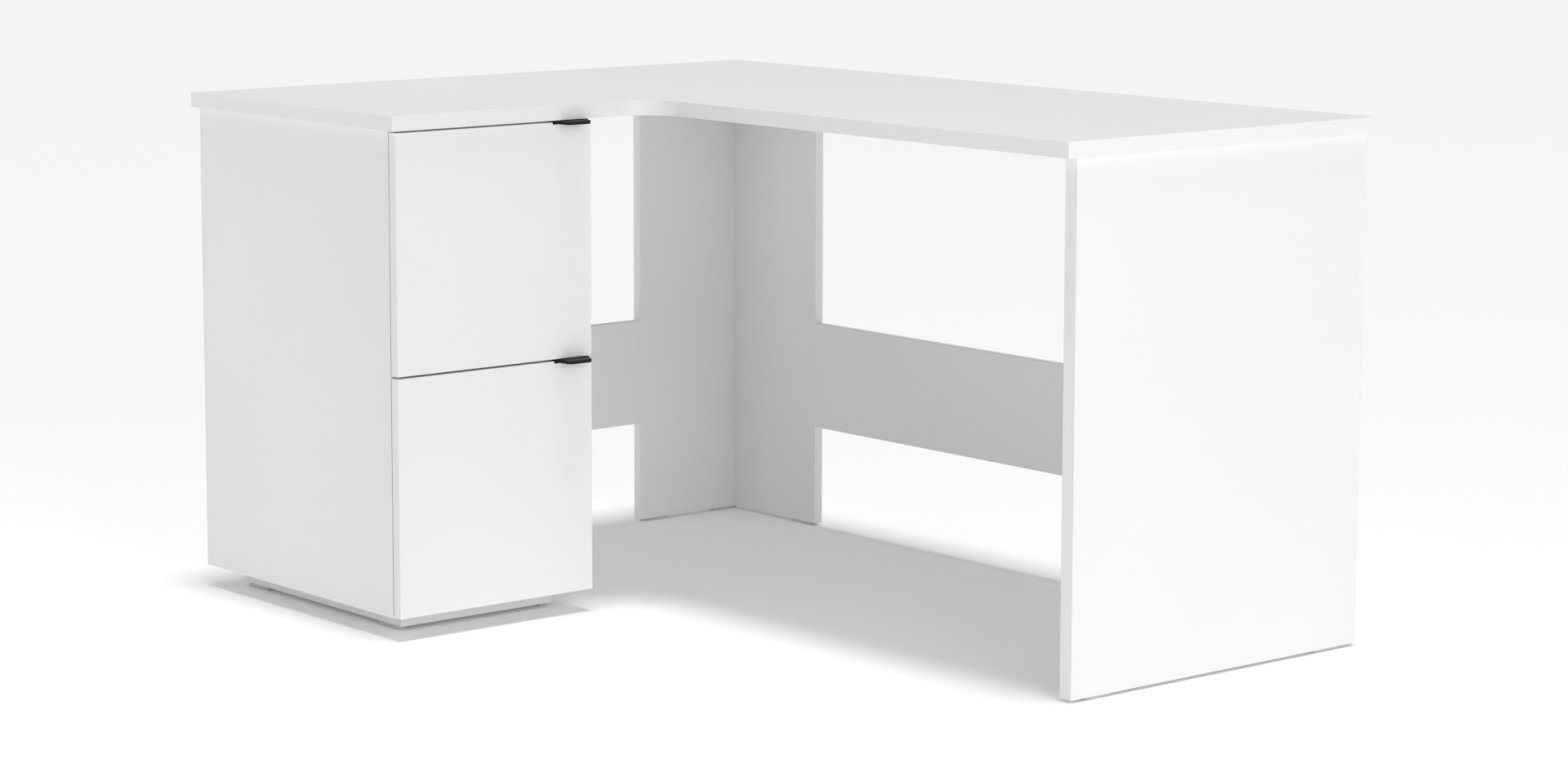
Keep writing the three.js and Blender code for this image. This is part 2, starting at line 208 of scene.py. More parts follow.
class Finish:
    """A material built from a Principled shader and the nodes that feed it."""

    def __init__(self, name, **constants):
        self.material = bpy.data.materials.new(finish_name(name))
        self.material.use_nodes = True
        self.tree = self.material.node_tree
        self.tree.nodes.clear()
        self.shader = self.tree.nodes.new("ShaderNodeBsdfPrincipled")
        output = self.tree.nodes.new("ShaderNodeOutputMaterial")
        self.tree.links.new(self.shader.outputs[0], output.inputs["Surface"])
        self.place = self.node("ShaderNodeTexCoord", output="Object")
        for socket, value in constants.items():
            self.shader.inputs[socket.replace("_", " ")].default_value = value

    def node(self, kind, settings=None, values=None, output=0):
        """Adds a node, sets its settings and then the values or links of its sockets."""
        node = self.tree.nodes.new(kind)
        for name, value in (settings or {}).items():
            if name == "stops":
                self._set_stops(node.color_ramp, value)
            else:
                setattr(node, name, value)
        for socket, value in (values or {}).items():
            if isinstance(value, Socket):
                self.tree.links.new(value.socket, node.inputs[socket])
            else:
                node.inputs[socket].default_value = value
        return Socket(self, node.outputs[output])

    @staticmethod
    def _set_stops(ramp, stops):
        while len(ramp.elements) < len(stops):
            ramp.elements.new(1)
        for element, (position, shade) in zip(ramp.elements, stops):
            element.position = position
            element.color = (*shade, 1) if isinstance(shade, tuple) else (shade, shade, shade, 1)

    def stretched(self, *scale):
        """Object coordinates stretched along each axis, to give a texture its direction."""
        return self.node("ShaderNodeMapping", None, {"Vector": self.place, "Scale": scale})

    def noise(self, scale, detail=2.0, roughness=0.5, place=None):
        values = {"Vector": place or self.place, "Scale": scale, "Detail": detail, "Roughness": roughness}
        return self.node("ShaderNodeTexNoise", None, values)

    def cells(self, scale, output="Distance", place=None):
        values = {"Vector": place or self.place, "Scale": scale}
        return self.node("ShaderNodeTexVoronoi", None, values, output)

    def band(self, value, low, high):
        """0 below low, 1 above high, and smooth between them."""
        settings = {"interpolation_type": "SMOOTHSTEP"}
        return self.node("ShaderNodeMapRange", settings, {"Value": value, "From Min": low, "From Max": high})

    def blend(self, factor, one, other):
        """A colour that goes from one to other as factor goes from 0 to 1."""
        settings = {"data_type": "RGBA"}
        values = {"Factor": factor, 6: self._rgba(one), 7: self._rgba(other)}
        return self.node("ShaderNodeMix", settings, values, output=2)

    @staticmethod
    def _rgba(shade):
        return shade if isinstance(shade, Socket) else (*shade[:3], 1)

    def feed(self, socket, value):
        self.tree.links.new(value.socket, self.shader.inputs[socket])

    def bump(self, height, depth, strength=1.0):
        values = {"Height": height, "Distance": depth, "Strength": strength}
        self.feed("Normal", self.node("ShaderNodeBump", None, values))


def shaded(base, factor):
    """A colour made lighter or darker by a factor."""
    return tuple(min(1, part * factor) for part in base)


def melamine_finish():
    """Melamine paper pressed with a fine pearl texture, with a trace of handling in its gloss."""
    finish = Finish("melamine_white", IOR=1.5)
    base = colours().board
    drift = finish.noise(1.7, 2)
    pearl = finish.noise(1500, 3, 0.6)
    handled = finish.noise(9, 4, 0.6)
    cloud = finish.band(drift, 0.3, 0.7)
    finish.feed("Base Color", finish.blend(cloud, shaded(base, 0.985), shaded(base, 1.01)))
    finish.feed("Roughness", 0.40 + handled * 0.10 + pearl * 0.06)
    finish.bump(pearl + finish.noise(420, 2) * 0.6, 0.05 * MM, 0.7)
    return finish.material


def edge_band_finish():
    """The plastic strip glued round the boards: smoother than the faces, with fine lines from the scraper."""
    finish = Finish("edge_band_white", IOR=1.5)
    base = colours().board
    lines = finish.noise(60, 3, 0.6, finish.stretched(1, 1, 60))
    finish.feed("Base Color", finish.blend(finish.noise(4, 2), shaded(base, 0.965), shaded(base, 0.995)))
    finish.feed("Roughness", 0.34 + lines * 0.08)
    finish.bump(lines + finish.noise(900, 2) * 0.5, 0.02 * MM, 0.5)
    return finish.material


def core_finish():
    """Chipboard: flakes of several browns pressed together."""
    finish = Finish("chipboard_core", Roughness=0.85)
    base = colours().core
    flakes = finish.cells(420, "Color", finish.stretched(1, 1, 0.5))
    grey = finish.node("ShaderNodeSeparateColor", None, {"Color": flakes})
    dust = finish.noise(2200, 2)
    shade = finish.blend(grey, shaded(base, 0.62), shaded(base, 1.35))
    finish.feed("Base Color", finish.blend(finish.band(dust, 0.55, 0.75), shade, shaded(base, 0.5)))
    finish.bump(grey * 0.7 + dust * 0.6, 0.25 * MM, 0.9)
    return finish.material


def hardboard_finish():
    """Thin fibreboard with a white painted face and a faint mesh pressed into it."""
    finish = Finish("hardboard_white", IOR=1.45)
    base = colours().hardboard
    mesh = finish.cells(650)
    cloud = finish.noise(14, 4, 0.6)
    finish.feed("Base Color", finish.blend(cloud, shaded(base, 0.96), shaded(base, 1.02)))
    finish.feed("Roughness", 0.48 + cloud * 0.14)
    finish.bump(mesh * 0.8 + finish.noise(1100, 2), 0.05 * MM, 0.6)
    return finish.material


def handle_finish():
    """Black powder coat with its fine orange peel, a little polished where fingers pull."""
    finish = Finish("handle_black", IOR=1.5, Specular_IOR_Level=0.2)
    base = colours().handle
    peel = finish.noise(1300, 2, 0.5)
    worn = finish.band(finish.noise(90, 3), 0.45, 0.75)
    finish.feed("Base Color", finish.blend(peel, shaded(base, 0.8), shaded(base, 1.5)))
    finish.feed("Roughness", 0.52 - worn * 0.08 + peel * 0.08)
    finish.bump(peel, 0.06 * MM, 0.7)
    return finish.material


def runner_finish():
    """Epoxy over rolled steel, with the faint lines of the rolls along its length."""
    finish = Finish("runner_white", IOR=1.5)
    base = colours().runner
    rolled = finish.noise(30, 3, 0.6, finish.stretched(0.3, 40, 40))
    specks = finish.band(finish.noise(700, 2), 0.68, 0.74)
    finish.feed("Base Color", finish.blend(specks * 0.5, base, shaded(base, 0.75)))
    finish.feed("Roughness", 0.30 + rolled * 0.12)
    finish.bump(rolled * 0.5 + finish.noise(800, 2) * 0.6, 0.03 * MM, 0.6)
    return finish.material


def roller_finish():
    """Moulded nylon, milky, with the track rubbed a little grey."""
    finish = Finish("roller_nylon", IOR=1.53, Subsurface_Weight=0.08, Subsurface_Scale=0.004)
    base = colours().roller
    cloud = finish.noise(240, 3)
    finish.feed("Base Color", finish.blend(cloud, shaded(base, 0.93), shaded(base, 1.04)))
    finish.feed("Roughness", 0.36 + cloud * 0.14)
    finish.bump(finish.noise(900, 2), 0.03 * MM, 0.5)
    return finish.material


def glide_finish():
    """Polyethylene pads with a grained face, scuffed where they meet the floor."""
    finish = Finish("glide_plastic", IOR=1.49)
    base = colours().glide
    grain = finish.cells(1200)
    scuff = finish.noise(160, 4, 0.7)
    finish.feed("Base Color", finish.blend(finish.band(scuff, 0.4, 0.7), base, shaded(base, 0.86)))
    finish.feed("Roughness", 0.5 + scuff * 0.15)
    finish.bump(grain * 0.7 + scuff * 0.5, 0.06 * MM, 0.7)
    return finish.material


def zinc_finish():
    """Zinc plate: small crystals that differ in tone and gloss, over brushed steel."""
    finish = Finish("bracket_zinc", Metallic=1.0)
    base = colours().zinc
    crystals = finish.node("ShaderNodeSeparateColor", None, {"Color": finish.cells(260, "Color")})
    brushed = finish.noise(80, 2, 0.6, finish.stretched(1, 12, 1))
    finish.feed("Base Color", finish.blend(crystals, shaded(base, 0.86), shaded(base, 1.14)))
    finish.feed("Roughness", 0.28 + crystals * 0.12 + brushed * 0.12)
    finish.bump(brushed + finish.noise(900, 2) * 0.4, 0.02 * MM, 0.5)
    return finish.material


def floor_finish():
    """A smooth matt sweep of pale studio paper."""
    finish = Finish("studio_floor", Roughness=0.9, Emission_Color=(1, 1, 1, 1), Emission_Strength=0.06)
    base = colours().floor
    finish.feed("Base Color", finish.blend(finish.noise(2.5, 2), shaded(base, 0.995), base))
    finish.bump(finish.noise(60, 3), 0.05 * MM, 0.2)
    return finish.material


FINISHES = {
    "melamine_white": melamine_finish,
    "edge_band_white": edge_band_finish,
    "chipboard_core": core_finish,
    "hardboard_white": hardboard_finish,
    "handle_black": handle_finish,
    "runner_white": runner_finish,
    "roller_nylon": roller_finish,
    "glide_plastic": glide_finish,
    "bracket_zinc": zinc_finish,
    "studio_floor": floor_finish,
}


def finish_named(name):
    """The material of that name, made the first time it is asked for."""
    return bpy.data.materials.get(finish_name(name)) or FINISHES[name]()


# ---------------------------------------------------------------- modelling by hand, in code


def only(piece):
    """Leaves one object selected and active."""
    bpy.ops.object.select_all(action="DESELECT")
    piece.select_set(True)
    bpy.context.view_layer.objects.active = piece


def settled(name):
    """Names the new primitive and moves its place into its mesh."""
    piece = bpy.context.object
    piece.name = name
    piece.data.name = name
    bpy.ops.object.transform_apply(location=True, rotation=True, scale=True)
    return piece


def new_block(name, low, high):
    bpy.ops.object.select_all(action="DESELECT")
    low, high = Vector(low), Vector(high)
    bpy.ops.mesh.primitive_cube_add(size=1, location=(low + high) / 2)
    bpy.context.object.scale = high - low
    return settled(name)


def new_disc(name, start, end, radius, sides=24):
    """A cylinder from one point to another."""
    bpy.ops.object.select_all(action="DESELECT")
    start, end = Vector(start), Vector(end)
    turn = (end - start).to_track_quat("Z", "Y").to_euler()
    bpy.ops.mesh.primitive_cylinder_add(
        vertices=sides, radius=radius, depth=(end - start).length, location=(start + end) / 2, rotation=turn
    )
    return settled(name)


@contextmanager
def picked(piece, kind, test):
    """Edit mode with only the faces or edges chosen by test selected. kind is FACE or EDGE; test takes
    a face's middle and normal, or an edge's two ends."""
    only(piece)
    mesh = piece.data
    for part in (*mesh.vertices, *mesh.edges, *mesh.polygons):
        part.select = False
    if kind == "FACE":
        for face in mesh.polygons:
            face.select = bool(test(face.center, face.normal))
    else:
        for edge in mesh.edges:
            edge.select = bool(test(*(mesh.vertices[i].co for i in edge.vertices)))
    bpy.context.tool_settings.mesh_select_mode = (False, kind == "EDGE", kind == "FACE")
    bpy.ops.object.mode_set(mode="EDIT")
    yield
    bpy.ops.object.mode_set(mode="OBJECT")


@contextmanager
def whole(piece):
    """Edit mode with everything selected."""
    only(piece)
    bpy.ops.object.mode_set(mode="EDIT")
    bpy.ops.mesh.select_all(action="SELECT")
    yield
    bpy.ops.object.mode_set(mode="OBJECT")


def along(axis, place):
    """A test for faces that look along an axis and lie at a place on it."""
    return lambda middle, normal: normal.dot(axis) > 0.9 and abs(middle.dot(axis) - place) < NEAR


def applied(piece, kind, **settings):
    only(piece)
    modifier = piece.modifiers.new(kind.title(), kind)
    for name, value in settings.items():
        setattr(modifier, name, value)
    bpy.ops.object.modifier_apply(modifier=modifier.name)


def rounded(piece, radius, steps=3, material=-1, angle=30):
    """Rounds every edge sharper than the angle."""
    where = {"limit_method": "ANGLE", "angle_limit": math.radians(angle)}
    applied(piece, "BEVEL", width=radius, segments=steps, material=material, use_clamp_overlap=True, **where)


def cut_away(piece, *cutters):
    """Takes the cutters' shapes out of the piece and removes the cutters."""
    for cutter in cutters:
        applied(piece, "BOOLEAN", object=cutter, operation="DIFFERENCE", solver="EXACT")
        bpy.data.objects.remove(cutter)


def joined(name, parts):
    bpy.ops.object.select_all(action="DESELECT")
    for part in parts:
        part.select_set(True)
    bpy.context.view_layer.objects.active = parts[0]
    if len(parts) > 1:
        bpy.ops.object.join()
    parts[0].name = name
    parts[0].data.name = name
    return parts[0]


def placed_copy(piece, matrix):
    """A copy with its own mesh, moved by the matrix."""
    copy = piece.copy()
    copy.data = piece.data.copy()
    copy.data.transform(matrix)
    bpy.context.collection.objects.link(copy)
    return copy


def smoothed(piece, angle=35):
    """Smooth shading in which the flat faces stay flat."""
    only(piece)
    bpy.ops.object.shade_smooth_by_angle(angle=math.radians(angle))
    applied(piece, "WEIGHTED_NORMAL", keep_sharp=True, weight=80)


def dressed(piece, slot, *finishes):
    """Gives the piece its materials, the first of them on faces that have no other."""
    names = finishes or (slot,)
    piece.data.materials.clear()
    for name in names:
        piece.data.materials.append(finish_named(name))


def finished(piece, body, *nodes):
    """Rides the piece on its body in place of the CAD nodes."""
    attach(piece, body)
    if nodes:
        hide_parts(*nodes)


def body_of(node):
    return next(name for name, nodes in frame["record"]["behaviour"]["bodies"].items() if node in nodes)


# ---------------------------------------------------------------- boards

FACE, BAND, CORE = range(3)
BOARD_FINISHES = ("melamine_white", "edge_band_white", "chipboard_core")


def direction(sign_and_axis):
    """The unit vector of a name such as -z."""
    sign = -1 if sign_and_axis[0] == "-" else 1
    return sign * {"x": X, "y": Y, "z": Z}[sign_and_axis[1]]


def paint_board(piece, across, bare):
    """Marks a board's faces, its banded edges and its bare edges. across is its thickness axis."""
    bare = [direction(name) for name in bare]
    for face in piece.data.polygons:
        if abs(face.normal.dot(across)) > 0.99:
            face.material_index = FACE
        elif any(face.normal.dot(way) > 0.99 for way in bare):
            face.material_index = CORE
        else:
            face.material_index = BAND


def make_board(node, bare=(), cutters=()):
    """A flat board in a node's box, banded on every edge that isn't bare."""
    low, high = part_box(node)
    size = high - low
    across = (X, Y, Z)[min(range(3), key=lambda axis: size[axis])]
    piece = new_block(f"{node}_board", low, high)
    dressed(piece, "melamine_white", *BOARD_FINISHES)
    paint_board(piece, across, bare)
    rounded(piece, sizes().arris, material=BAND)
    cut_away(piece, *cutters)
    smoothed(piece)
    finished(piece, body_of(node), node)
    return piece


def make_sheet(node):
    """A thin hardboard sheet in a node's box."""
    piece = new_block(f"{node}_sheet", *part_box(node))
    dressed(piece, "hardboard_white")
    rounded(piece, sizes().sheet_arris, steps=2)
    smoothed(piece)
    finished(piece, body_of(node), node)
    return piece


def wing_corner():
    """Where the two wings' front edges would cross, and the radius between them, from the CAD worktop."""
    low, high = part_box("worktop")
    corners = [v.co for v in frame["nodes"]["worktop"].data.vertices]
    left_edge = max(c.x for c in corners if c.y < low.y + NEAR)
    right_edge = min(c.y for c in corners if c.x > high.x - NEAR)
    arc_start = max(c.y for c in corners if abs(c.x - left_edge) < NEAR and c.y < right_edge - NEAR)
    return left_edge, right_edge, right_edge - arc_start


def make_worktop():
    low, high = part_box("worktop")
    left_edge, right_edge, radius = wing_corner()
    piece = new_block("worktop_board", low, (left_edge, high.y, high.z))
    with whole(piece):
        bpy.ops.mesh.bisect(plane_co=(0, right_edge, 0), plane_no=Y)
    with picked(piece, "FACE", lambda middle, normal: normal.x > 0.9 and middle.y > right_edge):
        bpy.ops.mesh.extrude_region_move(TRANSFORM_OT_translate={"value": X * (high.x - left_edge)})

    def inner_corner(a, b):
        at_corner = all(abs(p.x - left_edge) + abs(p.y - right_edge) < NEAR for p in (a, b))
        return at_corner and abs(a.z - b.z) > NEAR

    with picked(piece, "EDGE", inner_corner):
        bpy.ops.mesh.bevel(offset=radius, segments=20, affect="EDGES")
    with whole(piece):
        bpy.ops.mesh.dissolve_limited(angle_limit=math.radians(1))
    dressed(piece, "melamine_white", *BOARD_FINISHES)
    paint_board(piece, Z, ())
    rounded(piece, sizes().arris, material=BAND)
    smoothed(piece)
    finished(piece, "desk", "worktop")


def make_panels():
    make_board("end_panel", bare=("+z",))
    make_board("corner_panel_left", bare=("+z",))
    make_board("corner_panel_right", bare=("+z", "-x"))
    for side, ends in (("left", (Y, -Y)), ("right", (X, -X))):
        node = f"stretcher_{side}"
        make_board(node, bare=("-y", "+y") if side == "left" else ("-x", "+x"), cutters=cam_bores(node, ends))


def cam_places(node, ends):
    """Two cam fittings at each end of a stretcher, on its wall face: (middle, way out of the face)."""
    low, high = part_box(node)
    middle = (low + high) / 2
    out = -X if abs(ends[0].y) > 0.5 else Y
    half = (high - low) / 2
    face = middle + out * abs(half.dot(out))
    inset, spread = 34 * MM, 96 * MM
    for end in ends:
        for up in (-spread / 2, spread / 2):
            yield face + end * (abs(half.dot(end)) - inset) + Z * up, out


def cam_bores(node, ends):
    depth, slack = 1.6 * MM, 0.2 * MM
    radius = sizes().cam_radius + slack
    places = cam_places(node, ends)
    return [new_disc("bore", at - out * depth, at + out * depth, radius, 32) for at, out in places]


def make_cabinet():
    make_board("cabinet_side_left", bare=("-x", "+z"))
    make_board("cabinet_side_right", bare=("-x", "+z"))
    make_board("cabinet_bottom", bare=("-x", "-y", "+y"))
    make_board("cabinet_rail_front", bare=("-x", "-y", "+y"))
    make_board("cabinet_rail_rear", bare=("-x", "-y", "+y"))
    make_sheet("cabinet_back")


def make_plinth():
    make_board("plinth_left", bare=("+z",))
    make_board("plinth_right", bare=("+z",))
    make_board("plinth_front", bare=("+z",))
    make_board("plinth_rear", bare=("+z",))


def groove_cutter(drawer):
    """The slot that a drawer's bottom sits in, as a block a little larger than the bottom."""
    low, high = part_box(f"{drawer}_bottom")
    gap = sizes().groove_clearance
    rear_overrun = 2 * MM
    return new_block("groove", low - Vector((rear_overrun, gap, gap)), high + Vector((gap, gap, gap)))


def make_drawer_boards():
    for drawer in DRAWERS:
        make_board(f"{drawer}_front", cutters=[groove_cutter(drawer)])
        for side in SIDES:
            make_board(f"{drawer}_side_{side}", bare=("-x", "+x", "-z"), cutters=[groove_cutter(drawer)])
        make_board(f"{drawer}_back", bare=("-y", "+y", "-z"))
        make_sheet(f"{drawer}_bottom")


# ---------------------------------------------------------------- glides


def make_glides():
    corner, edge, nail, nail_depth = 3.5 * MM, 0.7 * MM, 3.2 * MM, 1.8 * MM
    for node in [name for name in frame["nodes"] if name.startswith("glide_")]:
        low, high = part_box(node)
        middle = (low + high) / 2
        piece = new_block(f"{node}_pad", low, high)
        with picked(piece, "EDGE", lambda a, b: abs(a.z - b.z) > NEAR):
            bpy.ops.mesh.bevel(offset=corner, segments=6, affect="EDGES")
        well_bottom, well_top = (middle.x, middle.y, -OVERCUT), (middle.x, middle.y, nail_depth)
        cut_away(piece, new_disc("nail_well", well_bottom, well_top, nail))
        rounded(piece, edge, steps=3)
        smoothed(piece)
        dressed(piece, "glide_plastic")
        finished(piece, body_of(node), node)


# ---------------------------------------------------------------- handles


def make_handle(drawer):
    """A plate on the front's top edge and a tab with a turned-down lip that reaches out over the front."""
    node = f"{drawer}_handle"
    low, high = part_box(node)
    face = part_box(f"{drawer}_front")[1].x
    top_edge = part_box(f"{drawer}_front")[1].z
    half = sizes().tab_length / 2
    middle = (low.y + high.y) / 2
    piece = new_block(f"{node}_tab", (low.x, middle - half, low.z), (high.x, middle + half, high.z))
    with whole(piece):
        bpy.ops.mesh.bisect(plane_co=(face, 0, 0), plane_no=X)
    wing = (high.y - low.y) / 2 - half
    for way in (Y, -Y):
        with picked(piece, "FACE", lambda at, normal: normal.dot(way) > 0.9 and at.x < face):
            bpy.ops.mesh.extrude_region_move(TRANSFORM_OT_translate={"value": way * wing})

    def upright(a, b, x):
        return abs(a.z - b.z) > NEAR and abs(a.x - x) < NEAR and abs(b.x - x) < NEAR

    with picked(piece, "EDGE", lambda a, b: upright(a, b, high.x)):
        bpy.ops.mesh.bevel(offset=sizes().tab_corner, segments=10, affect="EDGES")
    with picked(piece, "EDGE", lambda a, b: upright(a, b, face) and abs(abs(a.y - middle) - half) < NEAR):
        bpy.ops.mesh.bevel(offset=sizes().tab_root, segments=8, affect="EDGES")
    with whole(piece):
        bpy.ops.mesh.dissolve_limited(angle_limit=math.radians(1))
    under_plate = low - OVERCUT * (X + Y + Z)
    cut_away(piece, new_block("front_edge", under_plate, (face, high.y + OVERCUT, top_edge)))
    with picked(piece, "FACE", along(-Z, -low.z)):
        bpy.ops.mesh.inset(thickness=sizes().tab_lip)
        bpy.ops.mesh.extrude_region_move(TRANSFORM_OT_translate={"value": Z * (top_edge - low.z)})
    rounded(piece, sizes().tab_edge, steps=3, angle=40)
    smoothed(piece)
    dressed(piece, "handle_black")
    finished(piece, drawer, node)


# ---------------------------------------------------------------- runners


def fold_strip(name, rear, front, path, thickness, bend):
    """Sheet steel folded along X: the path's points (y, z) lie on the sheet's middle, the first two level."""
    (y0, z0), (y1, _) = path[:2]
    bpy.ops.object.select_all(action="DESELECT")
    bpy.ops.mesh.primitive_plane_add(size=1, location=((rear + front) / 2, (y0 + y1) / 2, z0))
    bpy.context.object.scale = (front - rear, abs(y1 - y0), 1)
    piece = settled(name)

    def on_point(p, point):
        return abs(p.y - point[0]) < NEAR and abs(p.z - point[1]) < NEAR

    for last, following in zip(path[1:], path[2:]):
        step = Vector((0, following[0] - last[0], following[1] - last[1]))
        with picked(piece, "EDGE", lambda a, b: on_point(a, last) and on_point(b, last)):
            bpy.ops.mesh.extrude_region_move(TRANSFORM_OT_translate={"value": step})
    for corner in path[1:-1]:
        with picked(piece, "EDGE", lambda a, b: on_point(a, corner) and on_point(b, corner)):
            bpy.ops.mesh.bevel(offset=bend, segments=4, affect="EDGES")
    applied(piece, "SOLIDIFY", thickness=thickness, offset=0, use_even_offset=True)
    with whole(piece):
        bpy.ops.mesh.normals_make_consistent(inside=False)
    return piece


def side_face(side):
    """The cabinet side's inner face and the way into the cabinet from it, along Y."""
    low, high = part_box(f"cabinet_side_{side}")
    return (high.y, 1) if side == "left" else (low.y, -1)


def measured_across(side):
    """A function that turns a depth into the cabinet from one of its sides into a place on Y."""
    wall, inward = side_face(side)
    return lambda depth: wall + inward * depth


def roller_middle(node):
    low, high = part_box(node)
    return (low + high) / 2, (high.z - low.z) / 2


def rivet(name, at, start, end, pin_radius=2.5 * MM, head_radius=4 * MM, head=0.7 * MM):
    """A roller's pin from y = start to y = end, with a flat head at its end."""
    way = 1 if end > start else -1
    pin = new_disc(name, (at.x, start, at.z), (at.x, end, at.z), pin_radius)
    cap = new_disc(name, (at.x, end, at.z), (at.x, end + way * head, at.z), head_radius)
    head_arris = 0.3 * MM
    rounded(cap, head_arris, steps=2)
    return [pin, cap]


def make_cabinet_rail(drawer, side):
    node = f"{drawer}_cabinet_rail_{side}"
    low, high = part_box(node)
    across = measured_across(side)
    steel = sizes().steel
    foot_width, lip_width, lip_cutback = 10 * MM, 8 * MM, 26 * MM
    lip_root, lip_depth, pin_end = 2.4 * MM, 3 * MM, 9.1 * MM
    path = [
        (across(foot_width), low.z + steel / 2),
        (across(steel / 2), low.z + steel / 2),
        (across(steel / 2), high.z - steel / 2),
        (across(lip_width), high.z - steel / 2),
    ]
    piece = fold_strip(f"{node}_strip", low.x, high.x, path, steel, sizes().bend)
    gap_low, gap_high = sorted((across(lip_root), across(foot_width + OVERCUT)))
    cut_away(
        piece,
        new_block(
            "lip_gap",
            (high.x - lip_cutback, gap_low, high.z - lip_depth),
            (high.x + OVERCUT, gap_high, high.z + OVERCUT),
        ),
        *rail_holes(node, across(-OVERCUT), across(2 * steel)),
    )
    roller_at, _ = roller_middle(f"{drawer}_cabinet_roller_{side}")
    stop = stop_tab(drawer, side, across(steel), across(lip_width), high.z)
    pin = rivet("pin", roller_at, across(steel / 2), across(pin_end))
    piece = joined(f"{node}_strip", [piece, stop, *pin])
    smoothed(piece)
    dressed(piece, "runner_white")
    finished(piece, "desk", node)


def stop_tab(drawer, side, root, tip, rail_top):
    """The tab pressed down from the channel's lip, which the drawer's rear roller meets fully open."""
    steel = sizes().steel
    roller_at, radius = roller_middle(f"{drawer}_roller_{side}")
    drop, length, arris = 4 * MM, 3 * MM, 0.4 * MM
    under = rail_top - steel - drop
    travel = next(j["range_m"][1] for j in frame["joints"] if j["name"] == f"{drawer}_slide")
    reach = math.sqrt(radius**2 - (under - roller_at.z) ** 2)
    start = roller_at.x + travel + reach + NEAR
    near, far = min(root, tip), max(root, tip)
    tab = new_block("stop", (start, near, under), (start + length, far, rail_top - steel / 2))
    rounded(tab, arris, steps=2)
    return tab


def rail_hole_places(node):
    """Screw holes along a rail: one near each end and one in the middle."""
    low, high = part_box(node)
    z = (low.z + high.z) / 2
    return [Vector((low.x + share * (high.x - low.x), 0, z)) for share in RAIL_HOLE_SHARES]


def rail_holes(node, start, end):
    """The unused holes beside each screw, which let the rail suit other cabinets."""
    offset, small, large = 20 * MM, 2.2 * MM, 3.2 * MM
    holes = []
    for at in rail_hole_places(node):
        for shift, radius in ((-offset, small), (offset, large)):
            x = at.x + shift
            holes.append(new_disc("hole", (x, start, at.z), (x, end, at.z), radius, 16))
    return holes


def make_drawer_rail(drawer, side):
    node = f"{drawer}_rail_{side}"
    low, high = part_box(node)
    across = measured_across(side)
    steel = sizes().steel
    web = RUNNER_GAP - steel / 2
    flange_end, lip_end, pin_end = 2 * MM, RUNNER_GAP + 12 * MM, 2.9 * MM
    path = [
        (across(lip_end), low.z + steel / 2),
        (across(web), low.z + steel / 2),
        (across(web), high.z - steel / 2),
        (across(flange_end), high.z - steel / 2),
    ]
    piece = fold_strip(f"{node}_strip", low.x, high.x, path, steel, sizes().bend)
    cut_away(piece, *rail_holes(node, across(RUNNER_GAP - 2 * steel), across(RUNNER_GAP + OVERCUT)))
    roller_at, _ = roller_middle(f"{drawer}_roller_{side}")
    pin = rivet("pin", roller_at, across(web), across(pin_end), head=0.6 * MM)
    piece = joined(f"{node}_strip", [piece, *pin])
    smoothed(piece)
    dressed(piece, "runner_white")
    finished(piece, drawer, node)


def make_roller(node):
    """A nylon roller with a recess round its hub on both faces."""
    low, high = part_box(node)
    at, radius = roller_middle(node)
    piece = new_disc(f"{node}_wheel", (at.x, low.y, at.z), (at.x, high.y, at.z), radius, 48)
    rim, recess, draft, depth = 1.8 * MM, 2.2 * MM, 0.3 * MM, 0.9 * MM
    bore, arris = 2.6 * MM, 0.25 * MM
    for way, place in ((Y, high.y), (-Y, -low.y)):
        with picked(piece, "FACE", along(way, place)):
            bpy.ops.mesh.inset(thickness=rim)
            bpy.ops.mesh.inset(thickness=draft, depth=-depth)
            bpy.ops.mesh.inset(thickness=recess)
            bpy.ops.mesh.inset(thickness=draft, depth=depth)
    ends = (at.x, low.y - OVERCUT, at.z), (at.x, high.y + OVERCUT, at.z)
    cut_away(piece, new_disc("bore", *ends, bore, 32))
    rounded(piece, arris, steps=2, angle=40)
    smoothed(piece)
    dressed(piece, "roller_nylon")
    finished(piece, body_of(node), node)


# ---------------------------------------------------------------- brackets and fittings


def make_bracket(node):
    """A folded angle with a pressed rib, standing in the corner between a panel and the worktop."""
    steel = sizes().bracket_steel
    leg, length, bend, hole, arris = 30 * MM, 40 * MM, 2 * MM, 2.3 * MM, 0.4 * MM
    spread, reach = BRACKET_HOLE_SPREAD, BRACKET_HOLE_REACH
    path = [(leg, -steel / 2), (steel / 2, -steel / 2), (steel / 2, -leg)]
    piece = fold_strip(f"{node}_angle", -length / 2, length / 2, path, steel, bend)
    holes = [new_disc("hole", (x, reach, -leg), (x, reach, OVERCUT), hole, 20) for x in (-spread, spread)]
    holes += [new_disc("hole", (x, -OVERCUT, -reach), (x, leg, -reach), hole, 20) for x in (-spread, spread)]
    cut_away(piece, *holes)
    rounded(piece, arris, steps=2, angle=50)
    rib_half, rib_reach, rib_hollow, rib_arris = 1.6 * MM, 8 * MM, 6 * MM, 0.5 * MM
    rib = new_block("rib", (-rib_half, steel / 2, -rib_reach), (rib_half, rib_reach, -steel / 2))
    far = rib_reach - MM
    with picked(rib, "EDGE", lambda a, b: min(a.y, b.y) > far and max(a.z, b.z) < -far):
        bpy.ops.mesh.bevel(offset=rib_hollow, segments=6, affect="EDGES")
    rounded(rib, rib_arris, steps=2)
    piece = joined(f"{node}_angle", [piece, rib])
    piece.data.transform(bracket_place(node))
    smoothed(piece)
    dressed(piece, "bracket_zinc")
    finished(piece, "desk", node)


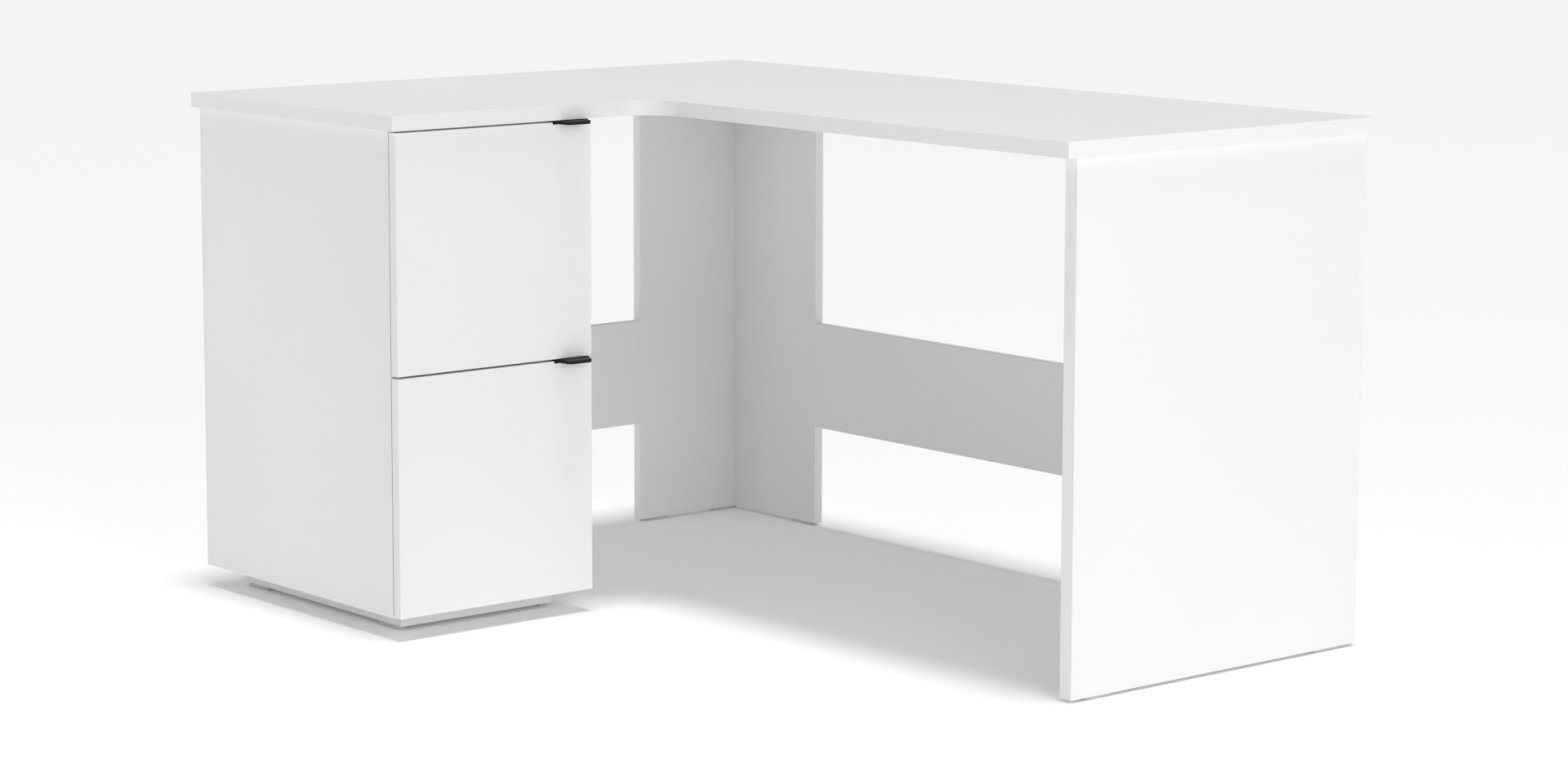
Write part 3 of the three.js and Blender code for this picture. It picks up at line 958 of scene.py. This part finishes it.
def bracket_place(node):
    """Turns a bracket modelled along X, with its upright leg at y = 0, into its node's box."""
    low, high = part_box(node)
    middle = (low + high) / 2
    panel = {
        "bracket_end_front": "end_panel",
        "bracket_end_rear": "end_panel",
        "bracket_corner_left": "corner_panel_left",
        "bracket_corner_right": "corner_panel_right",
    }[node]
    if panel == "end_panel":
        turn, corner = math.pi / 2, Vector((high.x, middle.y, high.z))
    elif panel == "corner_panel_left":
        turn, corner = -math.pi / 2, Vector((low.x, middle.y, high.z))
    else:
        turn, corner = math.pi, Vector((middle.x, high.y, high.z))
    return Matrix.Translation(corner) @ Matrix.Rotation(turn, 4, "Z")


def cross_slot(arm, half, bottom, top):
    """Cutters for a cross-shaped recess: two arms at right angles between two heights."""
    return (
        new_block("slot", (-arm, -half, bottom), (arm, half, top)),
        new_block("slot", (-half, -arm, bottom), (half, arm, top)),
    )


def make_screw_pattern():
    """A pan-head screw's head with a cross recess, seated at the origin and looking along +Z."""
    radius, height, buried, crown = sizes().screw_head, 1.5 * MM, 0.5 * MM, 0.9 * MM
    screw = new_disc("screw", (0, 0, -buried), (0, 0, height), radius, 20)
    with picked(screw, "EDGE", lambda a, b: min(a.z, b.z) > height - NEAR):
        bpy.ops.mesh.bevel(offset=crown, segments=3, affect="EDGES")
    arm, half, deep = 2.0 * MM, 0.38 * MM, 1.0 * MM
    cut_away(screw, *cross_slot(arm, half, height - deep, height + OVERCUT))
    return screw


def make_cam_pattern():
    """A cam's disc with its cross slot, its face at the origin and looking along +Z."""
    sunk, thick_to, arris = 0.3 * MM, 1.5 * MM, 0.2 * MM
    cam = new_disc("cam", (0, 0, -thick_to), (0, 0, -sunk), sizes().cam_radius, 32)
    arm, half, slot_bottom = 4.2 * MM, 0.7 * MM, 1.2 * MM
    cut_away(cam, *cross_slot(arm, half, -slot_bottom, OVERCUT))
    rounded(cam, arris, steps=1)
    return cam


def make_nail_pattern():
    """A panel pin's small flat head."""
    buried, proud, radius, crown = 0.4 * MM, 0.5 * MM, 1.3 * MM, 0.4 * MM
    nail = new_disc("nail", (0, 0, -buried), (0, 0, proud), radius, 12)
    with picked(nail, "EDGE", lambda a, b: min(a.z, b.z) > proud - NEAR):
        bpy.ops.mesh.bevel(offset=crown, segments=2, affect="EDGES")
    return nail


def seated(places):
    """A matrix for each (point, way out) that seats a fitting there."""
    for at, out in places:
        yield Matrix.Translation(at) @ Vector(out).to_track_quat("Z", "Y").to_matrix().to_4x4()


def make_fittings(name, pattern, places, body):
    parts = [placed_copy(pattern, matrix) for matrix in seated(places)]
    piece = joined(name, parts)
    smoothed(piece)
    dressed(piece, "bracket_zinc")
    finished(piece, body)


def rail_screw_places(drawer, side, riding):
    """Screws of a drawer's rail or of the cabinet's rail on one side."""
    wall, inward = side_face(side)
    node = f"{drawer}_rail_{side}" if riding else f"{drawer}_cabinet_rail_{side}"
    face = RUNNER_GAP - sizes().steel if riding else sizes().steel
    out = Vector((0, -inward if riding else inward, 0))
    for at in rail_hole_places(node):
        yield Vector((at.x, wall + inward * face, at.z)), out


def bracket_screw_places():
    spread, reach, steel = BRACKET_HOLE_SPREAD, BRACKET_HOLE_REACH, sizes().bracket_steel
    for node in [name for name in frame["nodes"] if name.startswith("bracket_")]:
        place = bracket_place(node)
        for x in (-spread, spread):
            yield place @ Vector((x, reach, -steel)), -Z
            yield place @ Vector((x, steel, -reach)), place.to_3x3() @ Y


def back_nail_places():
    """Panel pins round the edge of the cabinet's back."""
    low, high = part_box("cabinet_back")
    inset, pitch = 8 * MM, 110 * MM
    rows = round((high.z - low.z - 2 * inset) / pitch)
    columns = round((high.y - low.y - 2 * inset) / pitch)
    for row in range(rows + 1):
        z = low.z + inset + row * (high.z - low.z - 2 * inset) / rows
        for y in (low.y + inset, high.y - inset):
            yield Vector((low.x, y, z)), -X
    for column in range(1, columns):
        y = low.y + inset + column * (high.y - low.y - 2 * inset) / columns
        for z in (low.z + inset, high.z - inset):
            yield Vector((low.x, y, z)), -X


def drawer_screw_places(drawer):
    """Screws through the drawer's sides into its back."""
    back_low, back_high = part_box(f"{drawer}_back")
    x = (back_low.x + back_high.x) / 2
    for side in SIDES:
        low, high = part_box(f"{drawer}_side_{side}")
        y, out = (low.y, -Y) if side == "left" else (high.y, Y)
        sunk = 0.9 * MM
        for share in (0.25, 0.8):
            yield Vector((x, y, low.z + share * (high.z - low.z))) - out * sunk, out


def make_all_fittings():
    screw, cam, nail = make_screw_pattern(), make_cam_pattern(), make_nail_pattern()
    rails = [(drawer, side) for drawer in DRAWERS for side in SIDES]
    fixed = [place for rail in rails for place in rail_screw_places(*rail, riding=False)]
    make_fittings("cabinet_rail_screws", screw, fixed, "desk")
    make_fittings("bracket_screws", screw, bracket_screw_places(), "desk")
    make_fittings("back_nails", nail, back_nail_places(), "desk")
    cams = [*cam_places("stretcher_left", (Y, -Y)), *cam_places("stretcher_right", (X, -X))]
    make_fittings("stretcher_cams", cam, cams, "desk")
    for drawer in DRAWERS:
        riding = [place for side in SIDES for place in rail_screw_places(drawer, side, riding=True)]
        make_fittings(f"{drawer}_screws", screw, [*riding, *drawer_screw_places(drawer)], drawer)
    for pattern in (screw, cam, nail):
        bpy.data.objects.remove(pattern)


# ---------------------------------------------------------------- studio


CAMERA_AIM = (-0.047, -0.0404, 0.4551)
FLOOR_SIZE = 60

# where each light stands and what it looks at, and the width of the two area lights
KEY_PLACE, KEY_AIM = (0.3, 0.0, 5.0), (0, 0, 0)
SIDE_PLACE, SIDE_AIM, SIDE_WIDTH = (5.0, -1.0, 1.75), (-0.4, 0.1, 0.4), 3.0
FILL_PLACE, FILL_AIM, FILL_WIDTH = (-1.5, -1.9, 1.0), (-0.6, -0.5, 0.4), 1.2


def make_floor():
    bpy.ops.object.select_all(action="DESELECT")
    bpy.ops.mesh.primitive_plane_add(size=FLOOR_SIZE, location=(0, 0, 0))
    floor = settled("studio_floor")
    floor.data.materials.append(finish_named("studio_floor"))


def add_light(name, kind, at, aim, energy):
    lamp = bpy.data.lights.new(name, kind)
    lamp.energy = energy
    light = bpy.data.objects.new(name, lamp)
    light.location = at
    light.rotation_euler = (Vector(aim) - Vector(at)).to_track_quat("-Z", "Y").to_euler()
    bpy.context.collection.objects.link(light)
    return lamp


def add_camera():
    studio = bpy.context.scene.desk_studio
    turn, rise = studio.azimuth, studio.elevation
    back = Vector((math.sin(turn) * math.cos(rise), -math.cos(turn) * math.cos(rise), math.sin(rise)))
    aim = Vector(CAMERA_AIM)
    lens = bpy.data.cameras.new("camera")
    lens.lens = studio.lens
    lens.sensor_width = 36
    lens.shift_x, lens.shift_y = studio.shift
    lens.clip_end = 100
    camera = bpy.data.objects.new("camera", lens)
    camera.location = aim + back * studio.camera_distance
    camera.rotation_euler = (-back).to_track_quat("-Z", "Y").to_euler()
    bpy.context.collection.objects.link(camera)
    bpy.context.scene.camera = camera


def light_studio():
    """A white backdrop that lights the desk dimly, with a soft key light and two smaller lights."""
    scene = bpy.context.scene
    studio = scene.desk_studio
    scene.view_settings.view_transform = "Standard"
    world = bpy.data.worlds.new("studio")
    world.use_nodes = True
    nodes, links = world.node_tree.nodes, world.node_tree.links
    dim = nodes["Background"]
    dim.inputs["Color"].default_value = (1, 1, 1, 1)
    dim.inputs["Strength"].default_value = studio.ambient
    backdrop = nodes.new("ShaderNodeBackground")
    backdrop.inputs["Color"].default_value = (1, 1, 1, 1)
    seen = nodes.new("ShaderNodeLightPath")
    either = nodes.new("ShaderNodeMixShader")
    links.new(seen.outputs["Is Camera Ray"], either.inputs[0])
    links.new(dim.outputs[0], either.inputs[1])
    links.new(backdrop.outputs[0], either.inputs[2])
    links.new(either.outputs[0], nodes["World Output"].inputs["Surface"])
    scene.world = world
    key = add_light("key", "SUN", KEY_PLACE, KEY_AIM, studio.key)
    key.angle = studio.key_softness
    side = add_light("side", "AREA", SIDE_PLACE, SIDE_AIM, studio.side)
    side.size = SIDE_WIDTH
    fill = add_light("fill", "AREA", FILL_PLACE, FILL_AIM, studio.fill)
    fill.size = FILL_WIDTH


# ---------------------------------------------------------------- operators and panel


class CORNERDESK_OT_worktop(bpy.types.Operator):
    """Model the L-shaped worktop with its rounded inner corner"""

    bl_idname = "corner_desk.worktop"
    bl_label = "Worktop"
    bl_options = {"REGISTER", "UNDO"}

    def execute(self, context):
        make_worktop()
        return {"FINISHED"}


class CORNERDESK_OT_panels(bpy.types.Operator):
    """Model the end panel, the corner panels and the stretchers"""

    bl_idname = "corner_desk.panels"
    bl_label = "Panels and stretchers"
    bl_options = {"REGISTER", "UNDO"}

    def execute(self, context):
        make_panels()
        return {"FINISHED"}


class CORNERDESK_OT_cabinet(bpy.types.Operator):
    """Model the cabinet's case and its back"""

    bl_idname = "corner_desk.cabinet"
    bl_label = "Cabinet case"
    bl_options = {"REGISTER", "UNDO"}

    def execute(self, context):
        make_cabinet()
        return {"FINISHED"}


class CORNERDESK_OT_plinth(bpy.types.Operator):
    """Model the plinth's four boards"""

    bl_idname = "corner_desk.plinth"
    bl_label = "Plinth"
    bl_options = {"REGISTER", "UNDO"}

    def execute(self, context):
        make_plinth()
        return {"FINISHED"}


class CORNERDESK_OT_drawers(bpy.types.Operator):
    """Model the fronts and boxes of the drawers"""

    bl_idname = "corner_desk.drawers"
    bl_label = "Drawers"
    bl_options = {"REGISTER", "UNDO"}

    def execute(self, context):
        make_drawer_boards()
        return {"FINISHED"}


class CORNERDESK_OT_handles(bpy.types.Operator):
    """Model the black tab handles"""

    bl_idname = "corner_desk.handles"
    bl_label = "Handles"
    bl_options = {"REGISTER", "UNDO"}

    def execute(self, context):
        for drawer in DRAWERS:
            make_handle(drawer)
        return {"FINISHED"}


class CORNERDESK_OT_runners(bpy.types.Operator):
    """Model the folded steel rails of the roller runners"""

    bl_idname = "corner_desk.runners"
    bl_label = "Runners"
    bl_options = {"REGISTER", "UNDO"}

    def execute(self, context):
        for drawer in DRAWERS:
            for side in SIDES:
                make_cabinet_rail(drawer, side)
                make_drawer_rail(drawer, side)
        return {"FINISHED"}


class CORNERDESK_OT_rollers(bpy.types.Operator):
    """Model the nylon rollers"""

    bl_idname = "corner_desk.rollers"
    bl_label = "Rollers"
    bl_options = {"REGISTER", "UNDO"}

    def execute(self, context):
        for node in [name for name in frame["nodes"] if "_roller_" in name]:
            make_roller(node)
        return {"FINISHED"}


class CORNERDESK_OT_glides(bpy.types.Operator):
    """Model the pads under the desk"""

    bl_idname = "corner_desk.glides"
    bl_label = "Glides"
    bl_options = {"REGISTER", "UNDO"}

    def execute(self, context):
        make_glides()
        return {"FINISHED"}


class CORNERDESK_OT_brackets(bpy.types.Operator):
    """Model the angle brackets under the worktop"""

    bl_idname = "corner_desk.brackets"
    bl_label = "Brackets"
    bl_options = {"REGISTER", "UNDO"}

    def execute(self, context):
        for node in [name for name in frame["nodes"] if name.startswith("bracket_")]:
            make_bracket(node)
        return {"FINISHED"}


class CORNERDESK_OT_fittings(bpy.types.Operator):
    """Model the screws, cams and nails"""

    bl_idname = "corner_desk.fittings"
    bl_label = "Screws, cams and nails"
    bl_options = {"REGISTER", "UNDO"}

    def execute(self, context):
        make_all_fittings()
        return {"FINISHED"}


class CORNERDESK_OT_studio(bpy.types.Operator):
    """Set the floor, the lights and the camera"""

    bl_idname = "corner_desk.studio"
    bl_label = "Studio"
    bl_options = {"REGISTER", "UNDO"}

    def execute(self, context):
        make_floor()
        light_studio()
        add_camera()
        return {"FINISHED"}


OPERATORS = (
    CORNERDESK_OT_worktop,
    CORNERDESK_OT_panels,
    CORNERDESK_OT_cabinet,
    CORNERDESK_OT_plinth,
    CORNERDESK_OT_drawers,
    CORNERDESK_OT_handles,
    CORNERDESK_OT_runners,
    CORNERDESK_OT_rollers,
    CORNERDESK_OT_glides,
    CORNERDESK_OT_brackets,
    CORNERDESK_OT_fittings,
    CORNERDESK_OT_studio,
)


class CORNERDESK_PT_panel(bpy.types.Panel):
    """Lists the desk's operators and its sizes and colours"""

    bl_idname = "CORNERDESK_PT_panel"
    bl_label = "Corner desk"
    bl_space_type = "VIEW_3D"
    bl_region_type = "UI"
    bl_category = "Desk"

    def draw(self, context):
        for operator in OPERATORS:
            self.layout.operator(operator.bl_idname)
        for group in (context.scene.desk_sizes, context.scene.desk_colours, context.scene.desk_studio):
            box = self.layout.box()
            for name in group.bl_rna.properties.keys():
                if name not in ("rna_type", "name"):
                    box.prop(group, name)


GROUPS = {"desk_sizes": DeskSizes, "desk_colours": DeskColours, "desk_studio": DeskStudio}


def register():
    for cls in (*GROUPS.values(), *OPERATORS, CORNERDESK_PT_panel):
        bpy.utils.register_class(cls)
    for name, group in GROUPS.items():
        setattr(bpy.types.Scene, name, bpy.props.PointerProperty(type=group))


def unregister():
    for name in GROUPS:
        delattr(bpy.types.Scene, name)
    for cls in reversed((*GROUPS.values(), *OPERATORS, CORNERDESK_PT_panel)):
        bpy.utils.unregister_class(cls)


def check_finishes():
    """Stops the script if a visible piece wears a material that no texture feeds."""
    for piece in [thing for thing in bpy.data.objects if thing.type == "MESH" and not thing.hide_render]:
        for material in piece.data.materials:
            shader = material.node_tree.nodes.get("Principled BSDF")
            if not (shader and shader.inputs["Base Color"].is_linked):
                raise ValueError(f"{piece.name} wears the flat material {material.name}")


def main():
    register()
    for operator in OPERATORS:
        category, name = operator.bl_idname.split(".")
        getattr(getattr(bpy.ops, category), name)()
    check_finishes()


if __name__ == "__main__":
    main()
